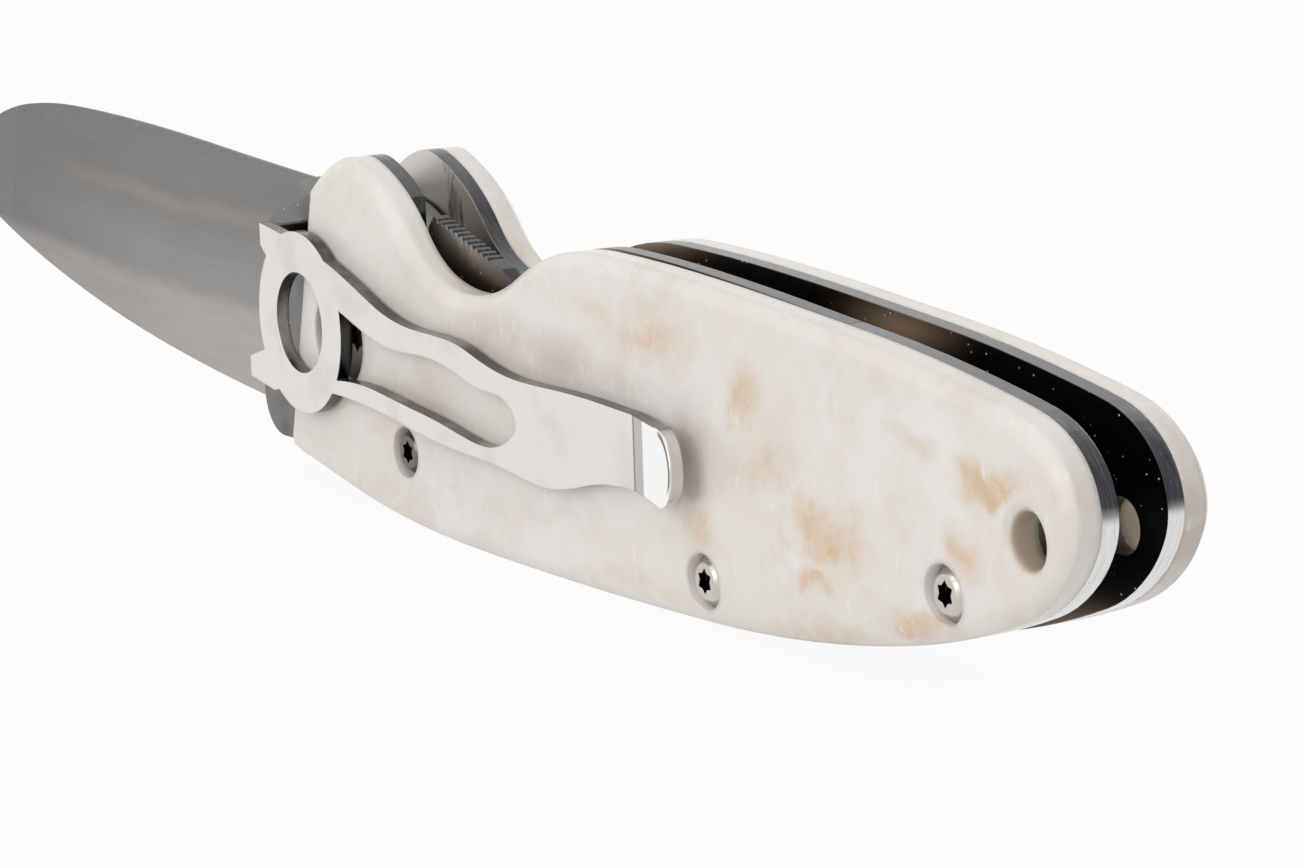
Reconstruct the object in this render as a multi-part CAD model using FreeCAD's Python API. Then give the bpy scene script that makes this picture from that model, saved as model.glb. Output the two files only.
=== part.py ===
import FreeCAD, Part
import math
import os

V = FreeCAD.Vector

# Folding pocket knife, opened. X runs from blade tip to butt, the clip side faces -Y and the
# slot side of the handle faces +Z. It is drawn about the blade pivot and moved at the end.

# Handle
rear_length = 92.0
nose_length = 18.7
bump_height = 13.8
back_depth = 12.9
notch_reach = 38.0
liner_thickness = 1.2
scale_thickness = 2.3
scale_edge_radius = 1.3
crown_radius = 12.0
crown_rise = 1.0
nose_corner_radius = 3.2
scale_corner_radius = 1.2
lanyard_radius = 1.75
lanyard_mouth = 0.45

# Blade
blade_reach = 88.0
blade_thickness = 3.0
edge_height = 12.2
spine_depth = 8.8
edge_thickness = 0.3
fold_angle = 174.0
nick_length = 9.0
nick_depth = 0.7
nick_cutter_radius = 9.0

# Pivot
barrel_radius = 2.5
barrel_bore_radius = 1.5
pivot_head_radius = 3.6
pivot_head_height = 0.8
pivot_recess_radius = 3.9
washer_radius = 5.0
washer_thickness = 0.2

# Pillars, stop pin and body screws
pillar_radius = 2.0
stop_pin_radius = 2.25
screw_shank_radius = 1.1
screw_head_radius = 1.75
screw_head_height = 0.95
screw_rim_height = 0.3
screw_flat_radius = 1.2
counterbore_radius = 1.9
counterbore_depth = 1.1
star_radius = 0.88
star_waist_radius = 0.61
star_depth = 0.55
pivot_star_radius = 1.25
pivot_star_waist_radius = 0.88

# Lock leaf and its detent ball
leaf_tip = 8.65
leaf_root = 66.0
leaf_low_edge = -0.6
leaf_tab_top = 9.9
leaf_tab_fall = 2.7
leaf_tab_end = 20.0
leaf_tab_ramp = 4.0
leaf_tab_corner = 0.9
leaf_travel = 1.15
leaf_slit = 0.4
slit_end_radius = 1.2
jimping_radius = 0.2
jimping_pitch = 0.8
jimping_count = 11
ball_radius = 0.6
ball_stand_out = 0.35
ball_along = 1.15
ball_above = 2.2

# Pocket clip
clip_thickness = 1.0
clip_reach = 52.6
clip_front = 13.15
clip_half_width = 7.8
clip_slope_length = 14.0
clip_lip_length = 7.6
clip_lip_rise = 1.9
clip_bend_radius = 2.5
ring_radius = 6.95
ring_hole_radius = 3.85
ring_forward = 4.05
ring_above = 0.8
leg_width = 1.3

# Clearances, the tolerance of curves and the overrun of cuts
running_fit = 0.03
press_gap = 0.01
side_play = 0.05
head_clearance = 0.1
lock_clearance = 0.05
stop_clearance = 0.1
root_gap = 0.05
clip_gap = 0.3
touch_gap = 0.05
curve_tolerance = 0.08
overrun = 1.0

# Worked out from the above
gap = blade_thickness + 2 * (washer_thickness + side_play)
liner_inside = gap / 2
liner_outside = liner_inside + liner_thickness
scale_outside = liner_outside + scale_thickness
clip_inside = scale_outside + clip_gap
clip_outside = clip_inside + clip_thickness
clip_touch = clip_reach - clip_lip_length
clip_slope_start = clip_touch - clip_slope_length

# How far a face has to point to one side to count as lying flat there
flat_share = 0.85

# Cuts that round over a square edge in two facets, as shares of the radius
first_cut_share = 2 - math.sqrt(2)
second_cut_share = math.tan(math.pi / 8) - math.tan(math.pi / 16)

# Bump and notch of the handle, as shares of the notch's reach and the bump's height
notch_shares = [(0.058, 1.0), (0.148, 0.924), (0.228, 0.797), (0.341, 0.515), (0.433, 0.424),
                (0.525, 0.402), (0.644, 0.5), (0.758, 0.645), (0.869, 0.739)]
hump_shares = (1.0, 0.768)

# Rest of the outline, as shares of the four reaches from the pivot
front_top_shares = (-0.246, 0.797)
bump_side_shares = (-0.086, 0.92)
bump_slope_share = 0.72
top_shares = [(0.543, 0.746), (0.674, 0.688), (0.804, 0.616), (0.913, 0.514), (0.974, 0.377)]
butt_shares = (1.0, 0.072)
back_shares = [(0.981, -0.225), (0.924, -0.481), (0.826, -0.705), (0.696, -0.876), (0.522, -0.969),
               (0.326, -1.0), (0.087, -0.969)]
front_low_shares = (-0.535, -0.767)
nose_top_shares = (-0.885, 0.53)
nose_low_shares = (-0.998, -0.783)

# Places on the handle, as shares of the same reaches
stop_pin_shares = (0.111, -0.558)
pillar_shares = [(0.562, -0.729), (0.861, -0.403)]
lanyard_shares = (0.952, -0.043)

# Blade from heel to tip, as shares: reach, spine height, grind height, edge height, thickness
blade_shares = [(-0.155, -0.94, -0.05, 0.852, 1.0),
                (-0.375, -0.78, -0.04, 0.934, 1.0),
                (-0.568, -0.545, 0.0, 0.988, 1.0),
                (-0.739, -0.216, 0.075, 0.98, 1.0),
                (-0.83, 0.012, 0.1, 0.915, 1.0),
                (-0.92, 0.213, 0.215, 0.73, 0.6),
                (-1.0, 0.426, 0.426, 0.426, 0.16)]
spine_rear_shares = [(-0.02, -0.985), (0.105, -1.0)]
nick_shares = (-0.27, -0.7)

# Clip outline, as shares of its two reaches and half width, from the front back along the top edge
clip_top_shares = [(-0.78, 1.0), (-0.24, 0.865), (0.074, 0.654), (0.17, 0.44), (0.29, 0.333),
                   (0.407, 0.308), (0.48, 0.2), (0.557, 0.135), (0.684, 0.141), (0.875, 0.103), (0.94, 0.096)]
clip_low_shares = [(0.94, -0.57), (0.875, -0.551), (0.76, -0.6), (0.654, -0.756), (0.51, -0.705),
                   (0.384, -0.68), (0.25, -0.6), (-0.68, -0.65), (-0.98, -0.58), (-1.0, -0.38)]
clip_front_shares = [(-0.66, -0.2), (-0.66, 0.62), (-0.78, 0.78)]
clip_leg_shares = [(-0.78, 0.89), (-0.988, -0.48)]
slot_shares = [(0.03, 0.36), (0.11, 0.22), (0.17, 0.12), (0.378, 0.08), (0.468, -0.05), (0.545, -0.13),
               (0.56, -0.28), (0.54, -0.43), (0.386, -0.5), (0.25, -0.41), (0.03, -0.37)]


def place(shares):
    """Point on the handle from its shares of the reaches around the pivot."""
    x = shares[0] * (rear_length if shares[0] > 0 else nose_length)
    z = shares[1] * (bump_height if shares[1] > 0 else back_depth)
    return V(x, 0, z)


def notch_place(shares):
    return V(shares[0] * notch_reach, 0, shares[1] * bump_height)


def blade_place(along, up):
    return V(along * blade_reach, 0, up * (edge_height if up > 0 else spine_depth))


def clip_place(shares):
    reach = clip_reach if shares[0] > 0 else clip_front
    return V(shares[0] * reach, 0, shares[1] * clip_half_width)


def smooth_run(points, start=None, end=None):
    """Tangent arcs that follow a smooth curve through the points."""
    curve = Part.BSplineCurve()
    if start is None:
        curve.interpolate(points)
    else:
        curve.interpolate(points, InitialTangent=start, FinalTangent=end)
    return [arc.toShape() for arc in curve.toBiArcs(curve_tolerance)]


def polyline(points):
    return [Part.makeLine(a, b) for a, b in zip(points, points[1:])]


def prism(edges, y_from, y_to):
    """Plate with the outline given at y = 0, from one y to another."""
    face = Part.Face(Part.Wire(Part.__sortEdges__(edges)))
    face.translate(V(0, y_from, 0))
    return face.extrude(V(0, y_to - y_from, 0))


def across(radius, centre, y_from, y_to):
    """Round bar along Y between two heights."""
    return Part.makeCylinder(radius, y_to - y_from, V(centre.x, y_from, centre.z), V(0, 1, 0))


def block(x_from, x_to, y_from, y_to, z_from, z_to):
    return Part.makeBox(x_to - x_from, y_to - y_from, z_to - z_from, V(x_from, y_from, z_from))


def mirrored(shape):
    return shape.mirror(V(0, 0, 0), V(0, 1, 0))


def turned(shape, point, axis, angle):
    copy = shape.copy()
    copy.rotate(point, axis, angle)
    return copy


def edges_along_y(shape, points, reach):
    """Straight edges along Y that pass within reach of the points."""
    found = []
    for edge in shape.Edges:
        middle = edge.CenterOfMass
        box = edge.BoundBox
        near = any(math.hypot(middle.x - p.x, middle.z - p.z) < reach for p in points)
        if near and box.XLength + box.ZLength < reach:
            found.append(edge)
    return found


def outer_rim(shape):
    """Edges around the flat and crowned faces on the -Y side of a plate."""
    outer = []
    for face in shape.Faces:
        u, v = face.Surface.parameter(face.CenterOfMass)
        if face.normalAt(u, v).y < -flat_share:
            outer += face.Edges
    return [e for e in outer if sum(e.isSame(o) for o in outer) == 1]


def rounded(plate, radius):
    """Plate with the rim of its -Y side rounded over, in two facets."""
    plate = plate.makeChamfer(radius * first_cut_share, outer_rim(plate))
    return plate.makeChamfer(radius * second_cut_share, outer_rim(plate))


def star(radius, waist, centre, y_from, y_to):
    """Six-lobed driver recess along Y."""
    count = 12
    points = []
    for i in range(count + 1):
        r = waist if i % 2 else radius
        angle = 2 * math.pi * i / count
        points.append(V(centre.x + r * math.sin(angle), 0, centre.z + r * math.cos(angle)))
    return prism(polyline(points), y_from, y_to)


def handle_curve():
    """Slot side, butt and back of the handle, from the front top corner to the front low corner."""
    front = [place(front_top_shares), place(bump_side_shares)]
    hump = notch_place(hump_shares)
    bump = front + [notch_place(s) for s in notch_shares] + [hump]
    rear = [hump] + [place(s) for s in top_shares] + [place(butt_shares)] + [place(s) for s in back_shares]
    rear.append(place(front_low_shares))
    level = V(1, 0, 0)
    low_end = V(-nose_length, 0, back_depth * (1 + front_low_shares[1]))
    return smooth_run(bump, V(1, 0, bump_slope_share), level) + smooth_run(rear, level, low_end)


stop_pin_place = place(stop_pin_shares)
pillar_places = [place(s) for s in pillar_shares]
screw_places = [stop_pin_place] + pillar_places
lanyard_place = place(lanyard_shares)
pivot = V(0, 0, 0)
leaf_axis_point = V(leaf_root, -(liner_inside + liner_thickness / 2), 0)
leaf_angle = math.degrees(math.asin(leaf_travel / (leaf_root - leaf_tip)))
leg_places = [clip_place(s) for s in clip_leg_shares]


def back_crown():
    """What comes off the clip-side scale so that it rounds over to its back, along the two rear screws."""
    along = (pillar_places[1] - pillar_places[0]).normalize()
    up = V(-along.z, 0, along.x)
    start = pillar_places[0] + up * crown_rise - along * rear_length
    end = start + along * 3 * rear_length
    drop = up * (back_depth + bump_height)
    corners = [start, end, end - drop, start - drop, start]
    below = prism(polyline(corners), -scale_outside - overrun, -liner_outside)
    axis = start - V(0, scale_outside - crown_radius, 0)
    return below.cut(Part.makeCylinder(crown_radius, (end - start).Length, axis, along))


def make_scale():
    """Clip-side scale: rounded plate with recesses for pivot, screws and lanyard."""
    front = polyline([place(front_low_shares), place(front_top_shares)])
    plate = prism(handle_curve() + front, -scale_outside, -liner_outside)
    corners = [place(front_low_shares), place(front_top_shares)]
    plate = plate.makeFillet(scale_corner_radius, edges_along_y(plate, corners, scale_edge_radius))
    plate = rounded(plate.cut(back_crown()), scale_edge_radius)
    low, high = -scale_outside - overrun, -liner_outside + overrun
    plate = plate.cut(across(lanyard_radius, lanyard_place, low, high))
    plate = plate.cut(Part.makeCone(lanyard_radius + lanyard_mouth + overrun, lanyard_radius,
                                    lanyard_mouth + overrun, lanyard_place + V(0, low, 0), V(0, 1, 0)))
    plate = plate.cut(across(pivot_recess_radius, pivot, low, high))
    for centre in screw_places:
        seat = -scale_outside + counterbore_depth
        plate = plate.cut(across(counterbore_radius, centre, low, seat))
        plate = plate.cut(across(screw_shank_radius + head_clearance, centre, seat, high))
    return plate


def make_liner_blank():
    """Clip-side liner before the lock is cut: the handle outline with a rounded nose in front."""
    nose = polyline([place(front_low_shares), place(nose_low_shares), place(nose_top_shares),
                     place(front_top_shares)])
    plate = prism(handle_curve() + nose, -liner_outside, -liner_inside)
    corners = [place(nose_low_shares), place(nose_top_shares)]
    plate = plate.makeFillet(nose_corner_radius, edges_along_y(plate, corners, scale_edge_radius))
    low, high = -liner_outside - overrun, -liner_inside + overrun
    plate = plate.cut(across(lanyard_radius, lanyard_place, low, high))
    plate = plate.cut(across(barrel_radius + running_fit, pivot, low, high))
    for centre in screw_places:
        plate = plate.cut(across(screw_shank_radius + head_clearance, centre, low, high))
    return plate


def leg_block(centre, y_from, y_to, grow):
    half = leg_width / 2 + grow
    rear = centre.x + clip_thickness + grow
    return block(centre.x - grow, rear, y_from, y_to, centre.z - half, centre.z + half)


def make_clip_side_liner(blank):
    """Liner with the window for the lock leaf and the two seats of the clip's legs."""
    low, high = -liner_outside - overrun, -liner_inside + overrun
    window = block(leaf_tip - leaf_slit, leaf_root + root_gap, low, high, leaf_low_edge - leaf_slit,
                   bump_height + overrun)
    plate = blank.cut(window)
    slit_end = V(leaf_root - slit_end_radius, 0, leaf_low_edge - leaf_slit)
    plate = plate.cut(across(slit_end_radius, slit_end, low, high))
    for centre in leg_places:
        plate = plate.cut(leg_block(centre, low, high, press_gap))
    return plate


def make_lock_leaf(blank):
    """Leaf spring out of the liner, sprung in behind the tang, with a jimped thumb tab in the notch."""
    top = bump_height + overrun
    leaf = blank.common(block(leaf_tab_end, leaf_root, -liner_outside, -liner_inside, leaf_low_edge, top))
    ramp_end = leaf_tab_end + leaf_tab_ramp
    tab_start = V(leaf_tip + leaf_tab_corner, 0, leaf_tab_top)
    tab_end = V(leaf_tab_end, 0, leaf_tab_top - leaf_tab_fall)
    low = V(leaf_tip, 0, leaf_low_edge)
    tab = polyline([low, V(leaf_tip, 0, leaf_tab_top - leaf_tab_corner), tab_start, tab_end,
                    V(ramp_end, 0, leaf_low_edge + notch_place(notch_shares[5]).z),
                    V(ramp_end, 0, leaf_low_edge), low])
    leaf = leaf.fuse(prism(tab, -liner_outside, -liner_inside)).removeSplitter()
    along = (tab_end - tab_start).normalize()
    for i in range(jimping_count):
        groove = tab_start + along * ((i + 1) * jimping_pitch)
        leaf = leaf.cut(across(jimping_radius, groove, -liner_outside - overrun, -liner_inside + overrun))
    ball = ball_place()
    pocket = ball_radius + press_gap
    leaf = leaf.cut(across(pocket, ball, ball.y - pocket, -liner_inside + overrun))
    return turned(leaf, leaf_axis_point, V(0, 0, 1), -leaf_angle)


def ball_place():
    """Centre of the detent ball with the leaf lying flush in its liner."""
    return V(leaf_tip + ball_along, -liner_inside + ball_stand_out - ball_radius, leaf_low_edge + ball_above)


def make_detent_ball():
    return turned(Part.makeSphere(ball_radius, ball_place()), leaf_axis_point, V(0, 0, 1), -leaf_angle)


def bevel_cutter():
    """Wedge that grinds the clip side of the blade from the grind line to the edge."""
    half = blade_thickness / 2
    wires = []
    for along, spine, grind, edge, thick in blade_shares:
        low = blade_place(along, grind)
        high = blade_place(along, edge)
        rise = max(high.z - low.z, edge_thickness)
        y_low = -half * thick
        y_high = -edge_thickness / 2
        lean = (y_high - y_low) / rise
        below = V(low.x, y_low - lean * overrun, low.z - overrun) if thick < 1 else V(low.x, y_low, low.z)
        above = V(high.x, y_high + lean * overrun, high.z + overrun)
        out = -half - overrun
        corners = [below, above, V(high.x, out, above.z), V(low.x, out, below.z), below]
        wires.append(Part.Wire(polyline(corners)))
    return Part.makeLoft(wires, True, True)


def pin_path():
    """Room that the stop pin sweeps in the blade between open and closed."""
    reach = stop_pin_radius + stop_clearance
    distance = math.hypot(stop_pin_place.x, stop_pin_place.z)
    low, high = -blade_thickness, blade_thickness
    ring = across(distance + reach, pivot, low, high).cut(across(distance - reach, pivot, low, high))
    wedge = Part.makeCylinder(distance + reach, high - low, V(0, low, 0), V(0, 1, 0), fold_angle)
    start = math.degrees(math.atan2(stop_pin_place.z, stop_pin_place.x))
    first = wedge.CenterOfMass
    now = math.degrees(math.atan2(first.z, first.x))
    wedge = turned(wedge, pivot, V(0, 1, 0), now - (start + fold_angle / 2))
    path = ring.common(wedge)
    path = path.fuse(across(reach, stop_pin_place, low, high))
    return path.fuse(across(reach, closed_to_open(stop_pin_place), low, high))


def closed_to_open(point):
    """Place on the opened blade of a point that meets the closed blade."""
    angle = math.radians(fold_angle)
    return V(point.x * math.cos(angle) - point.z * math.sin(angle), point.y,
             point.x * math.sin(angle) + point.z * math.cos(angle))


def make_blade():
    """Drop-point blade with a flat grind, tang, lock face, stop notches and nail nick."""
    half = blade_thickness / 2
    spine = [blade_place(*s) for s in spine_rear_shares[::-1]]
    spine += [blade_place(s[0], s[1]) for s in blade_shares]
    edge = [blade_place(s[0], s[3]) for s in blade_shares][::-1]
    notch = closed_to_open(stop_pin_place)
    heel = edge[-1]
    inner = polyline([heel, notch, pivot, stop_pin_place, spine[0]])
    outline = smooth_run(spine) + smooth_run(edge) + inner
    plate = prism(outline, -half, half)
    tang_radius = math.hypot(stop_pin_place.x, stop_pin_place.z) - stop_pin_radius - stop_clearance
    plate = plate.fuse(across(tang_radius, pivot, -half, half)).removeSplitter()
    plate = plate.cut(pin_path())
    plate = plate.cut(block(leaf_tip - lock_clearance, rear_length, -blade_thickness, blade_thickness,
                            leaf_low_edge - leaf_slit, bump_height))
    plate = plate.cut(across(barrel_radius + running_fit, pivot, -blade_thickness, blade_thickness))
    cutter = bevel_cutter()
    plate = plate.cut(cutter).cut(mirrored(cutter))
    nick = blade_place(*nick_shares)
    sink = half + nick_cutter_radius * math.cos(math.asin(nick_length / 2 / nick_cutter_radius))
    disc = Part.makeCylinder(nick_cutter_radius, nick_depth, V(nick.x, sink, nick.z), V(0, 0, 1))
    plate = plate.cut(disc)
    dimple = closed_to_open(ball_place())
    return plate.cut(Part.makeSphere(ball_radius + side_play, dimple))


def make_washer():
    ring = across(washer_radius, pivot, -blade_thickness / 2 - side_play - washer_thickness,
                  -blade_thickness / 2 - side_play)
    return ring.cut(across(barrel_radius + running_fit, pivot, -scale_outside, 0))


def make_pivot_barrel():
    """Headed barrel put in from the far side; it carries the blade and both washers."""
    body = across(barrel_radius, pivot, -liner_outside, liner_outside)
    head = across(pivot_head_radius, pivot, liner_outside, liner_outside + pivot_head_height)
    barrel = body.fuse(head).removeSplitter()
    barrel = barrel.cut(across(barrel_bore_radius, pivot, -liner_outside - overrun, liner_inside))
    top = liner_outside + pivot_head_height
    drive = star(pivot_star_radius, pivot_star_waist_radius, pivot, top - star_depth, top + overrun)
    return barrel.cut(drive)


def make_pivot_screw():
    head = across(pivot_head_radius, pivot, -liner_outside - pivot_head_height, -liner_outside)
    shank = across(barrel_bore_radius - running_fit, pivot, -liner_outside, liner_inside - lock_clearance)
    screw = head.fuse(shank).removeSplitter()
    top = -liner_outside - pivot_head_height
    drive = star(pivot_star_radius, pivot_star_waist_radius, pivot, top - overrun, top + star_depth)
    return screw.cut(drive)


def make_pillar(centre, radius):
    body = across(radius, centre, -liner_inside, liner_inside)
    return body.cut(across(screw_shank_radius + running_fit, centre, -gap, gap))


def make_screw(centre):
    """Button-head star-drive screw, seated in the clip-side scale and reaching into its pillar."""
    seat = -scale_outside + counterbore_depth
    rim = seat - screw_rim_height
    crown = seat - screw_head_height
    profile = [V(0, crown, 0), V(screw_flat_radius, crown, 0), V(screw_head_radius, rim, 0),
               V(screw_head_radius, seat, 0), V(screw_shank_radius, seat, 0),
               V(screw_shank_radius, -lock_clearance, 0), V(0, -lock_clearance, 0), V(0, crown, 0)]
    screw = Part.Face(Part.Wire(polyline(profile))).revolve(V(0, 0, 0), V(0, 1, 0), 360)
    screw.translate(V(centre.x, 0, centre.z))
    return screw.cut(star(star_radius, star_waist_radius, centre, crown - overrun, crown + star_depth))


def clip_strip():
    """Side view of the clip, wide enough for its whole outline: flat, eased in, then turned up."""
    touch = scale_outside + touch_gap
    front = min(p.x for p in leg_places)
    inner = [V(front, -clip_inside, 0), V(clip_slope_start, -clip_inside, 0), V(clip_touch, -touch, 0),
             V(clip_reach + overrun, -touch - clip_lip_rise, 0)]
    outer = [p - V(0, clip_thickness, 0) for p in inner[::-1]]
    face = Part.Face(Part.Wire(polyline(inner + outer + inner[:1])))
    face.translate(V(0, 0, -clip_half_width - overrun))
    strip = face.extrude(V(0, 0, 2 * (clip_half_width + overrun)))
    bend = [e for e in strip.Edges
            if e.BoundBox.XLength < touch_gap and abs(e.BoundBox.XMin - clip_touch) < touch_gap]
    return strip.makeFillet(clip_bend_radius, bend)


def clip_plan(y_from, y_to):
    """Outline of the clip seen from its side: ring, two arms, strap and rounded end."""
    top = [clip_place(s) for s in clip_top_shares]
    low = [clip_place(s) for s in clip_low_shares]
    end = V(clip_reach, 0, (top[-1].z + low[0].z) / 2)
    front = [low[-1]] + [clip_place(s) for s in clip_front_shares] + [top[0]]
    outline = smooth_run(top) + [Part.Arc(top[-1], end, low[0]).toShape()] + smooth_run(low[:-2])
    plan = prism(outline + polyline(low[-3:]) + polyline(front), y_from, y_to)
    ring = V(-ring_forward, 0, ring_above)
    plan = plan.fuse(across(ring_radius, ring, y_from, y_to)).removeSplitter()
    plan = plan.cut(across(ring_hole_radius, ring, y_from - overrun, y_to + overrun))
    points = [clip_place(s) for s in slot_shares]
    slot = prism(smooth_run(points) + polyline([points[-1], points[0]]), y_from - overrun, y_to + overrun)
    return plan.cut(slot.cut(across(ring_radius, ring, y_from - overrun, y_to + overrun)))


def make_clip():
    """Stamped clip; its two front legs turn in and are staked in the nose of the liner."""
    plan = clip_plan(-clip_outside - clip_lip_rise - overrun, -liner_outside)
    clip = clip_strip().common(plan)
    for centre in leg_places:
        clip = clip.fuse(leg_block(centre, -clip_outside, -liner_inside - press_gap, 0))
    return clip.removeSplitter()


def moved_to_origin(shapes):
    """Put the origin at the middle of the underside of the whole knife."""
    box = Part.Compound(list(shapes.values())).optimalBoundingBox()
    shift = V(-box.Center.x, -box.Center.y, -box.ZMin)
    for shape in shapes.values():
        shape.translate(shift)
    return shift


def main():
    blank = make_liner_blank()
    scale = make_scale()
    washer = make_washer()
    clip_screws = Part.Compound([make_screw(p) for p in screw_places])
    shapes = {
        "blade": make_blade(),
        "clip_side_liner": make_clip_side_liner(blank),
        "show_side_liner": mirrored(blank),
        "clip_side_scale": scale,
        "show_side_scale": mirrored(scale),
        "lock_leaf": make_lock_leaf(blank),
        "detent_ball": make_detent_ball(),
        "pivot_barrel": make_pivot_barrel(),
        "pivot_screw": make_pivot_screw(),
        "clip_side_washer": washer,
        "show_side_washer": mirrored(washer),
        "stop_pin": make_pillar(stop_pin_place, stop_pin_radius),
        "middle_pillar": make_pillar(pillar_places[0], pillar_radius),
        "rear_pillar": make_pillar(pillar_places[1], pillar_radius),
        "clip_side_screws": clip_screws,
        "show_side_screws": mirrored(clip_screws),
        "pocket_clip": make_clip(),
    }
    shift = moved_to_origin(shapes)
    os.makedirs("parts", exist_ok=True)
    for name, shape in shapes.items():
        shape.exportStep("parts/" + name + ".step")
        print(name, shape.isValid(), len(shape.Solids), round(shape.Volume, 2))
    print("pivot at", round(shift.x, 4), round(shift.y, 4), round(shift.z, 4))
    hinge = leaf_axis_point + shift
    print("leaf hinge at", round(hinge.x, 4), round(hinge.y, 4), "turn", round(leaf_angle, 4))


main()
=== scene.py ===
import bpy
import math
from mathutils import Matrix, Vector

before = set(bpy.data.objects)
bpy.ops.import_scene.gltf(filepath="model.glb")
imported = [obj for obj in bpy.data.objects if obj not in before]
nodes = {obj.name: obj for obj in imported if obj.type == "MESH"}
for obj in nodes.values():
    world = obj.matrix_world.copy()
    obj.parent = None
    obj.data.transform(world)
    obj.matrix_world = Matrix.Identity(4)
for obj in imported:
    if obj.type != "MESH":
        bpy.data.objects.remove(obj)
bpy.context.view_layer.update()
print("frame loaded,", len(nodes), "nodes")

scene = bpy.context.scene
scene.view_settings.view_transform = "Standard"

white = (1.0, 1.0, 1.0, 1.0)
millimetres = 1000.0
noiseMiddle = 0.5
cornerSamples = 6


class Wire:
    # a socket that can be added, multiplied and so on; node() makes any other node

    def __init__(self, tree, socket=None):
        self.tree = tree
        self.socket = socket

    def node(self, kind, settings=None, sockets=None, out=0):
        made = self.tree.nodes.new(kind)
        for name, value in (settings or {}).items():
            if name == "stops":
                self.fillRamp(made.color_ramp, value)
            else:
                setattr(made, name, value)
        for name, value in (sockets or {}).items():
            target = made.inputs[name]
            if isinstance(value, Wire):
                self.tree.links.new(value.socket, target)
            else:
                target.default_value = value
        return Wire(self.tree, made.outputs[out] if len(made.outputs) else None)

    def fillRamp(self, ramp, stops):
        while len(ramp.elements) < len(stops):
            ramp.elements.new(0.5)
        for element, (place, level) in zip(ramp.elements, stops):
            element.position = place
            element.color = (level, level, level, 1.0)

    def maths(self, operation, first, second=0.0):
        return self.node("ShaderNodeMath", {"operation": operation}, {0: first, 1: second})

    def __add__(self, other):
        return self.maths("ADD", self, other)

    __radd__ = __add__

    def __sub__(self, other):
        return self.maths("SUBTRACT", self, other)

    def __rsub__(self, other):
        return self.maths("SUBTRACT", other, self)

    def __mul__(self, other):
        return self.maths("MULTIPLY", self, other)

    __rmul__ = __mul__

    def __abs__(self):
        return self.maths("ABSOLUTE", self)

    def other(self, name):
        # another output of the same node
        return Wire(self.tree, self.socket.node.outputs[name])

    def largest(self, other):
        return self.maths("MAXIMUM", self, other)

    def ramp(self, stops):
        return self.node("ShaderNodeValToRGB", {"stops": stops}, {0: self})

    def between(self, low, high):
        # 0 at low, 1 at high, eased between them
        sockets = {"Value": self, "From Min": low, "From Max": high}
        return self.node("ShaderNodeMapRange", {"interpolation_type": "SMOOTHSTEP"}, sockets)

    def past(self, at, soft):
        # 0 before a place, 1 past it, eased over soft on either side
        return self.between(at - soft, at + soft)

    def blend(self, first, second):
        # first where this is 0, second where it is 1; sockets 6 and 7 are the node's colours
        sockets = {0: self, 6: first, 7: second}
        return self.node("ShaderNodeMix", {"data_type": "RGBA"}, sockets, out=2)


def srgb(red, green, blue):
    # a colour as a picture editor shows it, 0 to 255, in scene values
    def linear(value):
        part = value / 255
        return part / 12.92 if part <= 0.04045 else ((part + 0.055) / 1.055) ** 2.4
    return (linear(red), linear(green), linear(blue), 1.0)


def newMaterial(name):
    material = bpy.data.materials.new(name)
    material.use_nodes = True
    tree = material.node_tree
    tree.nodes.clear()
    return material, Wire(tree)


def vectorMaths(wire, operation, sockets, out=0):
    return wire.node("ShaderNodeVectorMath", {"operation": operation}, sockets, out)


def inMillimetres(wire):
    place = wire.node("ShaderNodeTexCoord", out="Object")
    return vectorMaths(wire, "SCALE", {0: place, "Scale": millimetres})


def axesOf(wire, vector):
    x = wire.node("ShaderNodeSeparateXYZ", None, {0: vector})
    return x, x.other("Y"), x.other("Z")


def facing(wire):
    # which way the surface points, in the knife's own frame
    return axesOf(wire, wire.node("ShaderNodeTexCoord", out="Normal"))


def noise(wire, place, scale=1.0, detail=2.0, rough=0.5, twist=0.0, stretch=None):
    if stretch:
        place = wire.node("ShaderNodeMapping", {"vector_type": "POINT"},
                          {"Vector": place, "Scale": stretch})
    return wire.node("ShaderNodeTexNoise", None, {
        "Vector": place, "Scale": scale, "Detail": detail, "Roughness": rough, "Distortion": twist})


def drifted(wire, place, vector, scale, reach):
    # the vector pushed about by up to reach, following a noise on the place
    push = wire.node("ShaderNodeTexNoise", None, {"Vector": place, "Scale": scale}, out="Color")
    push = vectorMaths(wire, "SUBTRACT", {0: push, 1: (noiseMiddle,) * 3})
    push = vectorMaths(wire, "SCALE", {0: push, "Scale": 2 * reach})
    return vectorMaths(wire, "ADD", {0: vector, 1: push})


def spotted(wire, place, centre, half):
    # how far out from a centre, where 1 is the half length along or the half height
    spot = wire.node("ShaderNodeMapping", {"vector_type": "POINT"}, {
        "Vector": place,
        "Location": (-centre[0] / half[0], 0.0, -centre[1] / half[1]),
        "Scale": (1 / half[0], 0.0, 1 / half[1])})
    return vectorMaths(wire, "LENGTH", {0: spot}, out="Value")


cloudFade = (-0.1, 1.6)


def cloudy(wire, place, clouds):
    # soft spots; each is along, up, half length, half height in millimetres, and its strength
    whole = None
    for along, up, halfLong, halfHigh, strength in clouds:
        spot = spotted(wire, place, (along, up), (halfLong, halfHigh))
        cloud = (1 - spot.between(*cloudFade)) * strength
        whole = cloud if whole is None else whole.largest(cloud)
    return whole


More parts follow.
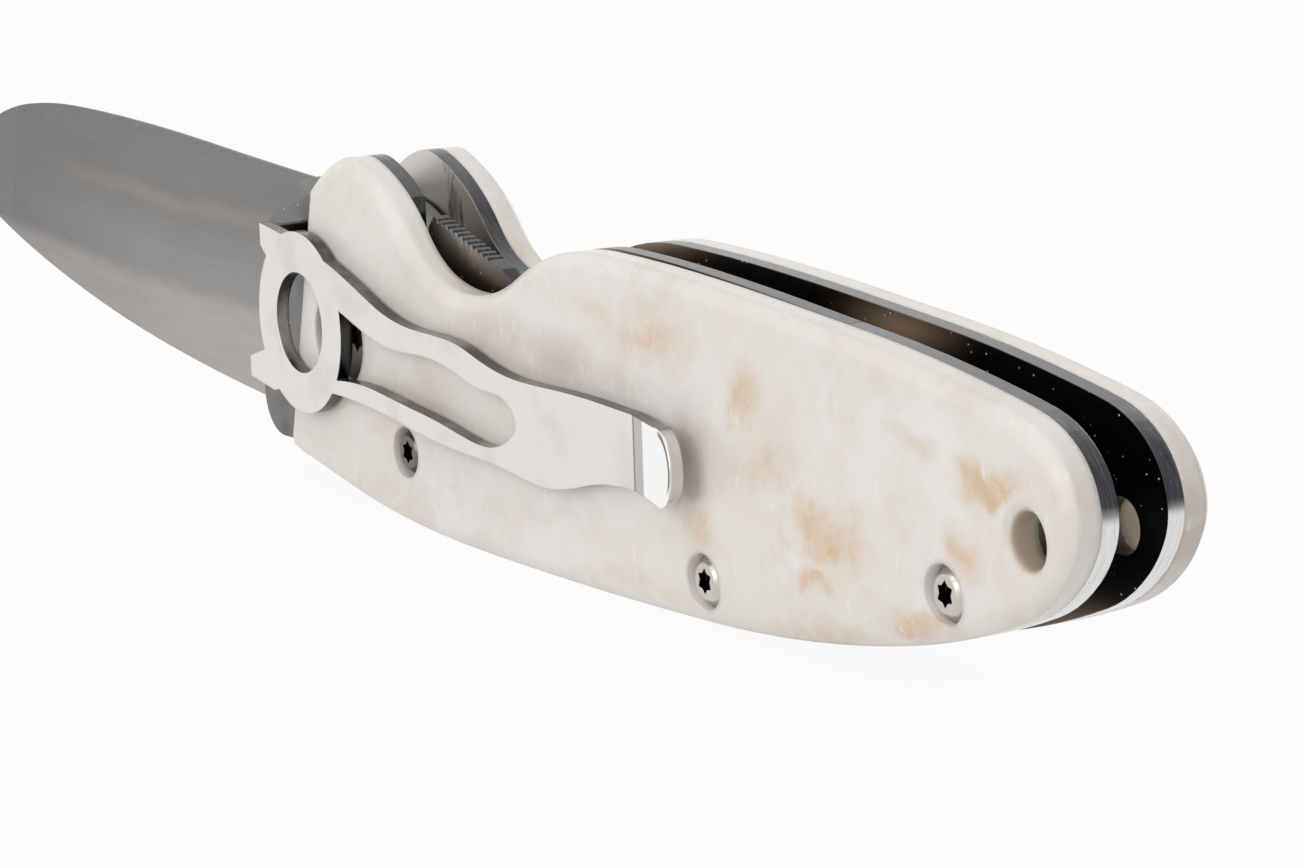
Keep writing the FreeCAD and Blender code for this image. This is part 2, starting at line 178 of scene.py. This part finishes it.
def finish(wire, sockets, edge, bump, depth):
    # shader and output; edge softens corners, depth is the height of the bump, in millimetres
    corners = wire.node("ShaderNodeBevel", {"samples": cornerSamples},
                        {"Radius": edge / millimetres})
    normal = wire.node("ShaderNodeBump", None, {
        "Strength": 1.0, "Distance": depth / millimetres, "Height": bump, "Normal": corners})
    surface = wire.node("ShaderNodeBsdfPrincipled", None, {**sockets, "Normal": normal})
    wire.node("ShaderNodeOutputMaterial", None, {"Surface": surface})


# in the looks below, a range says where a mask is none and where it is full,
# and a mix how much of a layer then shows

# scales: polished cream resin with tan clouds, pearly patches and short pale flecks
marble = {
    "cream": srgb(233, 226, 217),
    "shadow": srgb(222, 212, 201),
    # painted shadow and shade colour for the darker patches below
    "shade": srgb(200, 186, 174),
    "pearl": srgb(236, 233, 231),
    "fleck": srgb(243, 241, 239),
    "tan": srgb(226, 206, 182),
    "core": srgb(214, 181, 142),
    # painted shade on the wall of the lanyard hole
    "paintedBoreShade": srgb(206, 189, 168),
    "faceY": -3.9,
    "slide": 3.0,
    "clouds": [
        (43.3, 19.4, 7.0, 2.7, 0.59), (36.5, 20.6, 6.0, 1.6, 0.5), (55.6, 16.5, 2.8, 2.3, 0.75),
        (57.7, 12.6, 4.6, 2.7, 0.64), (64.7, 8.9, 4.4, 2.9, 1.0), (63.2, 5.5, 2.8, 1.0, 0.85),
        (82.7, 16.0, 4.4, 1.8, 1.1), (79.3, 11.2, 2.2, 2.4, 0.75), (74.2, 15.9, 3.2, 1.2, 0.55),
        (75.8, 4.6, 6.0, 1.6, 0.8), (50.2, 6.6, 3.4, 2.2, 0.65), (66.0, 2.6, 9.0, 1.3, 0.65),
        (40.0, 1.5, 12.0, 1.2, 0.5), (28.0, 4.0, 10.0, 1.6, 0.4), (7.0, 8.0, 6.0, 2.4, 0.35),
        (20.0, 15.0, 5.0, 2.0, 0.3),
    ],
    # painted shadow beside the clip and painted shade on the far rim of the butt, as darker patches
    "paintedShadows": [
        (31.7, 15.6, 6.0, 2.0, 0.9), (23.3, 16.2, 6.0, 1.8, 0.6), (39.8, 15.0, 5.0, 1.6, 0.6),
        (48.5, 12.0, 2.2, 4.0, 0.6), (11.0, 19.0, 5.0, 2.4, 0.35), (12.0, 10.0, 7.0, 2.4, 0.5),
        (116.0, 10.0, 9.0, 9.0, 0.9),
    ],
    "largeDrift": {"scale": 0.16, "reach": 3.0},
    "smallDrift": {"scale": 0.5, "reach": 1.0},
    "mottleNoise": {"scale": 0.55, "detail": 5.0, "rough": 0.65},
    "mottleLeast": 0.4,
    "mottleGain": 1.2,
    "tanRange": (0.1, 0.75),
    "coreRange": (0.45, 1.0),
    "coreMix": 0.8,
    "pearlNoise": {"scale": 0.11, "detail": 4.0, "rough": 0.6, "twist": 0.8},
    "pearlRange": (0.44, 0.66),
    "dullDrift": {"scale": 0.3, "reach": 3.0},
    "dullNoise": {"scale": 0.14, "detail": 3.0, "rough": 0.55},
    "dullRange": (0.5, 0.75),
    "dullMix": 0.7,
    "wispDrift": {"scale": 0.35, "reach": 2.0},
    "wispNoise": {"scale": 0.2, "detail": 3.0, "twist": 0.6},
    "wispRange": (0.0, 0.1),
    "wispMix": 0.3,
    "fleckNoise": {"stretch": (1.5, 1.5, 0.5), "twist": 0.4},
    "fleckRange": (0.64, 0.76),
    "fleckMix": 0.6,
    "grainNoise": {"scale": 2.6, "detail": 3.0, "rough": 0.6},
    "grainRange": (0.45, 0.8),
    "grainMix": 0.12,
    "boreAt": (85.6, 12.4),
    "boreHalf": (1.8, 1.8),
    "boreRange": (0.98, 1.1),
    "rough": 0.3,
    "roughGrain": 0.1,
    "gloss": {
        "IOR": 1.5, "Coat Weight": 0.25, "Coat Roughness": 0.1, "Subsurface Weight": 0.1,
        "Subsurface Radius": (0.002, 0.0014, 0.001), "Subsurface Scale": 0.4,
    },
    "edge": 0.8,
    "depth": 0.004,
}


def makeMarble():
    look = marble
    material, wire = newMaterial("marbledResin")
    place = inMillimetres(wire)
    x, y, z = axesOf(wire, place)
    # the pattern slides with the thickness, so the two scales don't match like a mirror
    along = x + (y - look["faceY"]) * look["slide"]
    slid = wire.node("ShaderNodeCombineXYZ", None, {"X": along, "Z": z})
    warped = drifted(wire, place, slid, **look["largeDrift"])
    warped = drifted(wire, place, warped, **look["smallDrift"])
    mottle = noise(wire, warped, **look["mottleNoise"])
    tan = cloudy(wire, warped, look["clouds"])
    tan = tan * (look["mottleLeast"] + mottle * look["mottleGain"])
    core = tan.between(*look["coreRange"]) * look["coreMix"]
    # painted shadow of the clip and painted shade on the far rim of the butt
    paintedShadow = cloudy(wire, slid, look["paintedShadows"])
    pearl = noise(wire, warped, **look["pearlNoise"]).between(*look["pearlRange"])
    dull = drifted(wire, place, place, **look["dullDrift"])
    dull = noise(wire, dull, **look["dullNoise"]).between(*look["dullRange"])
    wisps = drifted(wire, place, place, **look["wispDrift"])
    wisps = abs(noise(wire, wisps, **look["wispNoise"]) - noiseMiddle)
    wisps = 1 - wisps.between(*look["wispRange"])
    flecks = noise(wire, place, **look["fleckNoise"]).between(*look["fleckRange"])
    grain = noise(wire, place, **look["grainNoise"])
    grained = grain.between(*look["grainRange"]) * look["grainMix"]
    # painted shade on the wall of the lanyard hole
    paintedBoreShade = spotted(wire, place, look["boreAt"], look["boreHalf"])
    paintedBoreShade = 1 - paintedBoreShade.between(*look["boreRange"])
    shade = pearl.blend(look["cream"], look["pearl"])
    shade = (dull * look["dullMix"]).blend(shade, look["shadow"])
    shade = paintedShadow.blend(shade, look["shade"])
    shade = tan.between(*look["tanRange"]).blend(shade, look["tan"])
    shade = core.blend(shade, look["core"])
    shade = (wisps * look["wispMix"]).blend(shade, look["pearl"])
    shade = (flecks * look["fleckMix"]).blend(shade, look["fleck"])
    shade = grained.blend(shade, look["shadow"])
    shade = paintedBoreShade.blend(shade, look["paintedBoreShade"])
    rough = look["rough"] + grain * look["roughGrain"]
    finish(wire, {"Base Color": shade, "Roughness": rough, **look["gloss"]},
           look["edge"], grain, look["depth"])
    return material


# blade: satin laminated steel with a wavy seam; painted reflections make it dark on the grind and
# paler on the flat, paler near the grind line and darker towards the tip
bladeLook = {
    # painted reflections: the grind darker, the flat paler, both darker at the tip
    "grind": srgb(126, 125, 123),
    "grindLow": srgb(148, 146, 144),
    "grindTip": srgb(112, 111, 110),
    "flat": srgb(180, 172, 169),
    "flatTip": srgb(150, 147, 145),
    "seam": srgb(158, 142, 136),
    "pattern": srgb(84, 82, 80),
    "scratch": srgb(196, 193, 190),
    "tip": -90.0,
    "heel": -14.0,
    # height of the grind line above the underside, from tip to heel
    "grindLine": [
        (0.0, 0.182), (0.09, 0.156), (0.21, 0.142), (0.32, 0.139), (0.52, 0.13), (1.0, 0.125),
    ],
    "heightUnit": 100.0,
    # masks by height above the grind line, in millimetres, and by share of the way from the tip
    "groundRange": (-1.7, 0.1),
    "flatAlong": (0.0, 0.95),
    "grindAlong": (0.0, 0.8),
    "lowRange": (7.0, 1.0),
    "lowAlong": (0.1, 0.8),
    "seamAbove": 6.2,
    "seamWave": 1.3,
    "seamFall": 0.8,
    "seamAlong": (0.2, 0.6),
    "seamMix": 0.5,
    "waveNoise": {"stretch": (0.09, 0.3, 0.16), "detail": 4.0, "rough": 0.6},
    "patternNoise": {"stretch": (0.07, 0.5, 0.6), "detail": 5.0, "rough": 0.65, "twist": 0.5},
    "patternRange": (0.35, 0.75),
    "patternMix": 0.14,
    "grainNoise": {"stretch": (1.2, 4.0, 9.0), "detail": 3.0, "rough": 0.6},
    "grainRange": (0.3, 0.8),
    "grainMix": 0.1,
    "cloudNoise": {"stretch": (0.05, 0.2, 0.1)},
    "rough": 0.34,
    "roughCloud": 0.08,
    "roughGrain": 0.08,
    "edge": 0.12,
    "depth": 0.002,
}


def makeBladeSteel():
    look = bladeLook
    material, wire = newMaterial("laminatedSteel")
    place = inMillimetres(wire)
    x, _, z = axesOf(wire, place)
    along = (x - look["tip"]) * (1 / (look["heel"] - look["tip"]))
    above = z - along.ramp(look["grindLine"]) * look["heightUnit"]
    ground = above.between(*look["groundRange"])
    wave = (noise(wire, place, **look["waveNoise"]) - noiseMiddle) * (2 * look["seamWave"])
    seam = abs(above + wave - look["seamAbove"])
    seam = (1 - seam * look["seamFall"]).between(0.0, 1.0)
    seam = seam * ground * along.between(*look["seamAlong"]) * look["seamMix"]
    low = above.between(*look["lowRange"]) * along.between(*look["lowAlong"])
    pattern = noise(wire, place, **look["patternNoise"])
    grain = noise(wire, place, **look["grainNoise"])
    cloud = noise(wire, place, **look["cloudNoise"])
    # painted reflections: paler flat, darker grind, both darker towards the tip, the grind paler
    # near its line
    flat = along.between(*look["flatAlong"]).blend(look["flatTip"], look["flat"])
    grind = along.between(*look["grindAlong"]).blend(look["grindTip"], look["grind"])
    grind = low.blend(grind, look["grindLow"])
    shade = ground.blend(flat, grind)
    shade = seam.blend(shade, look["seam"])
    pattern = pattern.between(*look["patternRange"]) * look["patternMix"]
    shade = pattern.blend(shade, look["pattern"])
    scratches = grain.between(*look["grainRange"]) * look["grainMix"]
    shade = scratches.blend(shade, look["scratch"])
    rough = look["rough"] + cloud * look["roughCloud"] + grain * look["roughGrain"]
    finish(wire, {"Base Color": shade, "Metallic": 1.0, "Roughness": rough},
           look["edge"], grain, look["depth"])
    return material


# liners and lock leaf: dark flat faces, partly their finish and partly painted shade; ground edges
# coloured as painted reflections, with a painted highlight towards the butt
linerLook = {
    # dark faces: partly the steel's finish, partly painted shade inside the slot
    "dark": srgb(40, 38, 37),
    # the lock leaf's face: a painted brown reflection in shade
    "paintedLeafReflection": srgb(88, 73, 60),
    "outside": srgb(122, 120, 118),
    "warm": srgb(104, 86, 72),
    # painted brown reflection on the inner faces
    "gleam": srgb(174, 147, 121),
    # painted sheen: a highlight on the far liner's face in the thumb notch
    "sheen": srgb(214, 209, 204),
    # painted reflections on the ground edges: grey on top, painted shade on the dip, a painted
    # highlight at the butt
    "paintedEdgeReflection": srgb(92, 93, 95),
    "paintedEdgeShade": srgb(58, 59, 62),
    "paintedEdgeHighlight": srgb(224, 222, 221),
    "edgeLine": srgb(150, 151, 152),
    "dust": srgb(236, 234, 230),
    # painted shade in the lanyard hole, in place of the edges' painted highlight
    "paintedBoreShade": srgb(70, 64, 58),
    # edges, by the way they point: across is a face, and the band turns from the top to the butt;
    # the band picks painted reflections
    "rimRange": (0.35, 0.75),
    "bandTilt": 0.6,
    "bandSmudge": 0.2,
    "dipRange": (-0.35, 0.1),
    "endRange": (0.5, 0.64),
    "endAlong": (60.0, 72.0),
    "lineNoise": {"stretch": (0.4, 9.0, 0.4), "rough": 0.6},
    "lineRange": (0.45, 0.8),
    "lineMix": 0.35,
    "boreAt": (85.6, 12.4),
    "boreHalf": (2.2, 2.2),
    "boreRange": (0.95, 1.05),
    # faces: painted brown reflections inside, paler outside, and a painted sheen in the thumb notch
    "paintedReflections": [
        (62.6, 21.1, 6.2, 1.6, 1.0), (33.0, 24.0, 6.0, 1.6, 0.8), (82.0, 4.5, 6.0, 2.5, 0.9),
    ],
    "gleamMatt": 0.7,
    "smudgeNoise": {"scale": 0.12, "detail": 3.0, "rough": 0.55},
    "warmRange": (0.5, 0.75),
    "warmMix": 0.4,
    "middleY": 1.36,
    "outsideRange": (2.5, 2.8),
    "outsideSmudge": (0.2, 0.6),
    "sheenUp": (18.5, 24.0),
    "sheenFront": (-8.0, -5.0),
    "sheenRear": (12.0, 22.0),
    "streakNoise": {"stretch": (0.5, 0.5, 0.2), "detail": 3.0, "rough": 0.6, "twist": 0.5},
    "streakRange": (0.25, 0.48),
    "dustScale": 1.25,
    "dustRange": (0.05, 0.11),
    "rough": 0.34,
    "rimPolish": 0.12,
    "roughLines": 0.06,
    "edge": 0.12,
    "depth": 0.002,
}


def makeLinerSteel(name, edgeShade, faceShade):
    look = linerLook
    material, wire = newMaterial(name)
    place = inMillimetres(wire)
    x, y, z = axesOf(wire, place)
    pointsX, pointsY, pointsZ = facing(wire)
    rim = 1 - abs(pointsY).between(*look["rimRange"])
    onFace = 1 - rim
    smudge = noise(wire, place, **look["smudgeNoise"])
    lines = noise(wire, place, **look["lineNoise"])
    streaks = noise(wire, place, **look["streakNoise"])
    # ground edges: a painted reflection on top, painted shade where the band dips, a painted
    # highlight where it turns down towards the butt
    band = (pointsX - pointsZ) * look["bandTilt"] + (smudge - noiseMiddle) * look["bandSmudge"]
    end = band.between(*look["endRange"]) * x.between(*look["endAlong"])
    lined = lines.between(*look["lineRange"]) * look["lineMix"]
    # painted shade in the lanyard hole
    paintedBoreShade = spotted(wire, place, look["boreAt"], look["boreHalf"])
    paintedBoreShade = 1 - paintedBoreShade.between(*look["boreRange"])
    ground = band.between(*look["dipRange"]).blend(edgeShade, look["paintedEdgeShade"])
    ground = end.blend(ground, look["paintedEdgeHighlight"])
    ground = lined.blend(ground, look["edgeLine"])
    ground = paintedBoreShade.blend(ground, look["paintedBoreShade"])
    # flat faces: dark, partly the steel's finish and partly painted shade inside the slot
    warm = smudge.between(*look["warmRange"]) * look["warmMix"]
    # painted brown reflections on the inner faces
    glow = cloudy(wire, place, look["paintedReflections"])
    outside = abs(y - look["middleY"]).between(*look["outsideRange"])
    outside = outside * smudge.between(*look["outsideSmudge"])
    # painted sheen, a highlight in the thumb notch
    sheen = z.between(*look["sheenUp"]) * x.between(*look["sheenFront"])
    sheen = sheen * (1 - x.between(*look["sheenRear"])) * streaks.between(*look["streakRange"])
    face = warm.blend(faceShade, look["warm"])
    face = glow.blend(face, look["gleam"])
    face = outside.blend(face, look["outside"])
    face = sheen.blend(face, look["sheen"])
    # dust lies on the faces and isn't metal
    specks = wire.node("ShaderNodeTexVoronoi", None,
                       {"Vector": place, "Scale": look["dustScale"]}, out="Distance")
    dust = 1 - specks.between(*look["dustRange"])
    shade = rim.blend(face, ground)
    shade = (dust * onFace).blend(shade, look["dust"])
    # the painted brown reflections are partly not metal, so they show
    matt = dust.largest(glow * onFace * look["gleamMatt"])
    rough = look["rough"] - rim * look["rimPolish"] + lines * look["roughLines"]
    finish(wire, {"Base Color": shade, "Metallic": 1 - matt, "Roughness": rough},
           look["edge"], lines, look["depth"])
    return material


# pocket clip: bright satin faces, polished sides painted dark as a reflection, and painted shade on
# the bend before its turned-up end, which is painted paler as a highlight
clipLook = {
    "face": srgb(230, 227, 225),
    "smear": srgb(214, 210, 207),
    # the lip is painted paler as a highlight
    "lip": srgb(250, 249, 248),
    # painted shade on the bend, and darker on the two lines across it
    "bend": srgb(192, 189, 187),
    "creaseShade": srgb(132, 130, 128),
    # painted dark reflection on the polished sides
    "side": srgb(74, 73, 72),
    "sidePale": srgb(150, 148, 146),
    "sideRange": (0.4, 0.85),
    "smudgeNoise": {"scale": 0.2, "detail": 3.0, "rough": 0.55},
    "smearRange": (0.45, 0.7),
    "smearMix": 0.6,
    # the bend runs from one line to the other, and the lip begins at the second; painted shade
    # darkens the bend and both lines
    "bendAt": 43.3,
    "bendSoft": 0.1,
    "bendCrease": (0.05, 0.25),
    "lipAt": 45.0,
    "lipSoft": 0.15,
    "lipCrease": (0.0, 0.2),
    "lipCreaseMix": 0.5,
    # a painted dark reflection round the end of the lip
    "endAt": (47.9, 11.1),
    "endHalf": (2.66, 2.66),
    "endRing": 0.9,
    "endRange": (0.03, 0.1),
    "endAlong": (47.9, 48.7),
    "endUp": (9.4, 10.6),
    "tailAlong": (48.0, 49.0),
    "blastNoise": {"scale": 6.0, "rough": 0.6},
    "rough": 0.36,
    "roughBlast": 0.06,
    "polish": 0.2,
    "polishSoft": 0.2,
    "edge": 0.22,
    "depth": 0.002,
}


def makeClipSteel():
    look = clipLook
    material, wire = newMaterial("clipSteel")
    place = inMillimetres(wire)
    x, _, z = axesOf(wire, place)
    side = 1 - abs(facing(wire)[1]).between(*look["sideRange"])
    smear = noise(wire, place, **look["smudgeNoise"]).between(*look["smearRange"])
    blast = noise(wire, place, **look["blastNoise"])
    # painted shade along the two lines of the bend
    bendCrease = 1 - abs(x - look["bendAt"]).between(*look["bendCrease"])
    lipCrease = 1 - abs(x - look["lipAt"]).between(*look["lipCrease"])
    creaseShade = bendCrease.largest(lipCrease * look["lipCreaseMix"])
    end = abs(spotted(wire, place, look["endAt"], look["endHalf"]) - look["endRing"])
    end = 1 - end.between(*look["endRange"])
    end = end * x.between(*look["endAlong"]) * z.between(*look["endUp"])
    face = (smear * look["smearMix"]).blend(look["face"], look["smear"])
    # painted shade on the bend
    face = x.past(look["bendAt"], look["bendSoft"]).blend(face, look["bend"])
    # painted highlight on the lip, which is also made more polished below
    face = x.past(look["lipAt"], look["lipSoft"]).blend(face, look["lip"])
    face = creaseShade.blend(face, look["creaseShade"])
    # painted dark reflection round the end of the lip
    face = end.blend(face, look["side"])
    # the sides: a painted dark reflection, paler at the tail
    edge = smear.blend(look["side"], look["sidePale"])
    edge = x.between(*look["tailAlong"]).blend(edge, look["smear"])
    shade = side.blend(face, edge)
    polished = side.largest(x.past(look["lipAt"], look["polishSoft"]))
    rough = look["rough"] - polished * look["polish"] + blast * look["roughBlast"]
    finish(wire, {"Base Color": shade, "Metallic": 1.0, "Roughness": rough},
           look["edge"], blast, look["depth"])
    return material


# body screws: bright button heads, with painted shade inside their star drives and on the front
# screw beside the clip
screwLook = {
    "head": srgb(206, 200, 192),
    "smudge": srgb(170, 166, 160),
    # painted shade on the front screw, in the clip's shadow
    "front": srgb(112, 108, 104),
    # painted shade inside the star drives and on the heads' rims
    "driveShade": srgb(44, 41, 39),
    "middleY": 1.36,
    # the drive: its floor lies deeper than the head, its walls point sideways; both, and the head's
    # rim, get painted shade
    "floorRange": (4.85, 4.95),
    "floorFlat": (0.85, 0.95),
    "wallRange": (0.2, 0.4),
    "frontAlong": (14.0, 18.0),
    "turnedNoise": {"scale": 4.0, "rough": 0.6},
    "smudgeNoise": {"scale": 0.8},
    "smudgeMix": 0.3,
    "rough": 0.2,
    "roughTurned": 0.08,
    "roughSmudge": 0.06,
    "edge": 0.12,
    "depth": 0.001,
}


def makeScrewSteel():
    look = screwLook
    material, wire = newMaterial("screwSteel")
    place = inMillimetres(wire)
    x, y, _ = axesOf(wire, place)
    across = abs(facing(wire)[1])
    # painted shade in the drive and on the rim
    deep = 1 - abs(y - look["middleY"]).between(*look["floorRange"])
    wall = 1 - across.between(*look["wallRange"])
    driveShade = (deep * across.between(*look["floorFlat"])).largest(wall)
    turned = noise(wire, place, **look["turnedNoise"])
    smudge = noise(wire, place, **look["smudgeNoise"])
    head = (smudge * look["smudgeMix"]).blend(look["head"], look["smudge"])
    # painted shade on the front screw, in the clip's shadow
    head = (1 - x.between(*look["frontAlong"])).blend(head, look["front"])
    shade = driveShade.blend(head, look["driveShade"])
    rough = look["rough"] + turned * look["roughTurned"] + smudge * look["roughSmudge"]
    finish(wire, {"Base Color": shade, "Metallic": 1.0, "Roughness": rough},
           look["edge"], turned, look["depth"])
    return material


# hidden and small metals: colour, roughness, direction of the finish and depth of its lines
steels = {
    "turnedPin": {
        "colour": srgb(150, 148, 146), "rough": 0.24, "lines": (2.0, 12.0, 2.0), "depth": 0.002},
    # the pivot is painted dark, as shade in its recess under the clip
    "paintedShadePivot": {
        "colour": srgb(96, 92, 88), "rough": 0.3, "lines": (3.0, 3.0, 3.0), "depth": 0.002},
    "brightBall": {
        "colour": srgb(214, 212, 210), "rough": 0.14, "lines": (5.0, 5.0, 5.0), "depth": 0.001},
    "bronzeWasher": {
        "colour": srgb(196, 150, 98), "rough": 0.3, "lines": (5.0, 5.0, 5.0), "depth": 0.002},
}
# what those metals share
steelWear = {
    "lineRough": 0.6,
    "smudgeNoise": {"scale": 0.25},
    "smudgeMix": 0.25,
    "smudgeDarker": 0.8,
    "roughLines": 0.06,
    "roughSmudge": 0.05,
    "edge": 0.1,
}


def makeSteel(name):
    look = steels[name]
    material, wire = newMaterial(name)
    place = inMillimetres(wire)
    lines = noise(wire, place, stretch=look["lines"], rough=steelWear["lineRough"])
    smudge = noise(wire, place, **steelWear["smudgeNoise"])
    darker = tuple(part * steelWear["smudgeDarker"] for part in look["colour"][:3]) + (1.0,)
    shade = (smudge * steelWear["smudgeMix"]).blend(look["colour"], darker)
    rough = look["rough"] + lines * steelWear["roughLines"] + smudge * steelWear["roughSmudge"]
    finish(wire, {"Base Color": shade, "Metallic": 1.0, "Roughness": rough},
           steelWear["edge"], lines, look["depth"])
    return material


finishes = {name: makeSteel(name) for name in steels}
finishes["marbledResin"] = makeMarble()
finishes["laminatedSteel"] = makeBladeSteel()
finishes["linerSteel"] = makeLinerSteel("linerSteel", linerLook["paintedEdgeReflection"], linerLook["dark"])
# the leaf wears painted shade on its edges and a painted reflection on its face
finishes["leafSteel"] = makeLinerSteel("leafSteel", linerLook["paintedEdgeShade"], linerLook["paintedLeafReflection"])
finishes["clipSteel"] = makeClipSteel()
finishes["screwSteel"] = makeScrewSteel()
print("finishes made,", len(finishes))

# which finish each node of the knife wears
wears = {
    "laminatedSteel": ["blade"],
    "marbledResin": ["clip_side_scale", "show_side_scale"],
    "linerSteel": ["clip_side_liner", "show_side_liner"],
    "leafSteel": ["lock_leaf"],
    "clipSteel": ["pocket_clip"],
    "turnedPin": ["stop_pin", "middle_pillar", "rear_pillar"],
    "paintedShadePivot": ["pivot_barrel", "pivot_screw"],
    "screwSteel": ["clip_side_screws", "show_side_screws"],
    "brightBall": ["detent_ball"],
    "bronzeWasher": ["clip_side_washer", "show_side_washer"],
}
for finishName, names in wears.items():
    for name in names:
        for materialSlot in nodes[name].material_slots:
            materialSlot.material = finishes[finishName]
print("nodes dressed")

# floor and light
studio = {
    "floorHalf": 3.0,
    "floorWhite": 0.86,
    "floorGlow": 0.93,
    "worldLight": 0.45,
    "lamps": {
        "overhead": {
            "at": (0.05, -0.12, 0.75), "aim": (0.0, 0.0, 0.01), "size": 0.7, "watts": 1.5},
        "back": {
            "at": (-0.2, 0.8, 0.4), "aim": (0.0, 0.0, 0.01), "size": 0.6, "watts": 1.3},
        "front": {
            "at": (0.25, -0.75, 0.35), "aim": (0.02, 0.0, 0.01), "size": 0.6, "watts": 2.6},
    },
}


def towards(eye, aim):
    return (Vector(aim) - Vector(eye)).to_track_quat("-Z", "Y")


def seenRays(wire):
    # 1 where the background itself is seen, straight, mirrored or through something
    camera = wire.node("ShaderNodeLightPath", out="Is Camera Ray")
    mirrored = camera.largest(camera.other("Is Glossy Ray"))
    return mirrored.largest(camera.other("Is Transmission Ray"))


def makeFloor():
    half = studio["floorHalf"]
    corners = [(-half, -half, 0), (half, -half, 0), (half, half, 0), (-half, half, 0)]
    mesh = bpy.data.meshes.new("floor")
    mesh.from_pydata(corners, [], [(0, 1, 2, 3)])
    floor = bpy.data.objects.new("floor", mesh)
    scene.collection.objects.link(floor)
    material, wire = newMaterial("paleFloor")
    pale = studio["floorWhite"]
    matt = wire.node("ShaderNodeBsdfDiffuse", None, {"Color": (pale, pale, pale, 1.0)})
    glow = wire.node("ShaderNodeEmission", None, {"Color": white, "Strength": 1.0})
    seen = seenRays(wire) * studio["floorGlow"]
    mixed = wire.node("ShaderNodeMixShader", None, {0: seen, 1: matt, 2: glow})
    wire.node("ShaderNodeOutputMaterial", None, {"Surface": mixed})
    mesh.materials.append(material)


def makeWorld():
    world = bpy.data.worlds.new("studio")
    world.use_nodes = True
    world.node_tree.nodes.clear()
    wire = Wire(world.node_tree)
    seen = seenRays(wire)
    level = seen + (1 - seen) * studio["worldLight"]
    sky = wire.node("ShaderNodeBackground", None, {"Color": white, "Strength": level})
    wire.node("ShaderNodeOutputWorld", None, {"Surface": sky})
    scene.world = world


def makeLamps():
    for name, lamp in studio["lamps"].items():
        light = bpy.data.lights.new(name, "AREA")
        light.size = lamp["size"]
        light.energy = lamp["watts"]
        holder = bpy.data.objects.new(name, light)
        holder.location = lamp["at"]
        holder.rotation_euler = towards(lamp["at"], lamp["aim"]).to_euler()
        scene.collection.objects.link(holder)


makeFloor()
makeWorld()
makeLamps()
print("studio lit")

# camera, fitted to the photograph; places in metres, roll in degrees, lens and sensor in millimetres
view = {
    "eye": (0.27803, -0.1421604, 0.0651152),
    "aim": (0.034929, 0.0013646, 0.0104942),
    "roll": -1.8086,
    "lens": 115.9,
    "sensor": 36.0,
    "nearest": 0.01,
    "farthest": 20.0,
}


def makeCamera():
    data = bpy.data.cameras.new("camera")
    data.lens = view["lens"]
    data.sensor_width = view["sensor"]
    data.clip_start = view["nearest"]
    data.clip_end = view["farthest"]
    camera = bpy.data.objects.new("camera", data)
    turn = towards(view["eye"], view["aim"]).to_matrix().to_4x4()
    roll = Matrix.Rotation(math.radians(view["roll"]), 4, "Z")
    camera.matrix_world = Matrix.Translation(view["eye"]) @ turn @ roll
    scene.collection.objects.link(camera)
    scene.camera = camera


makeCamera()
print("camera set")
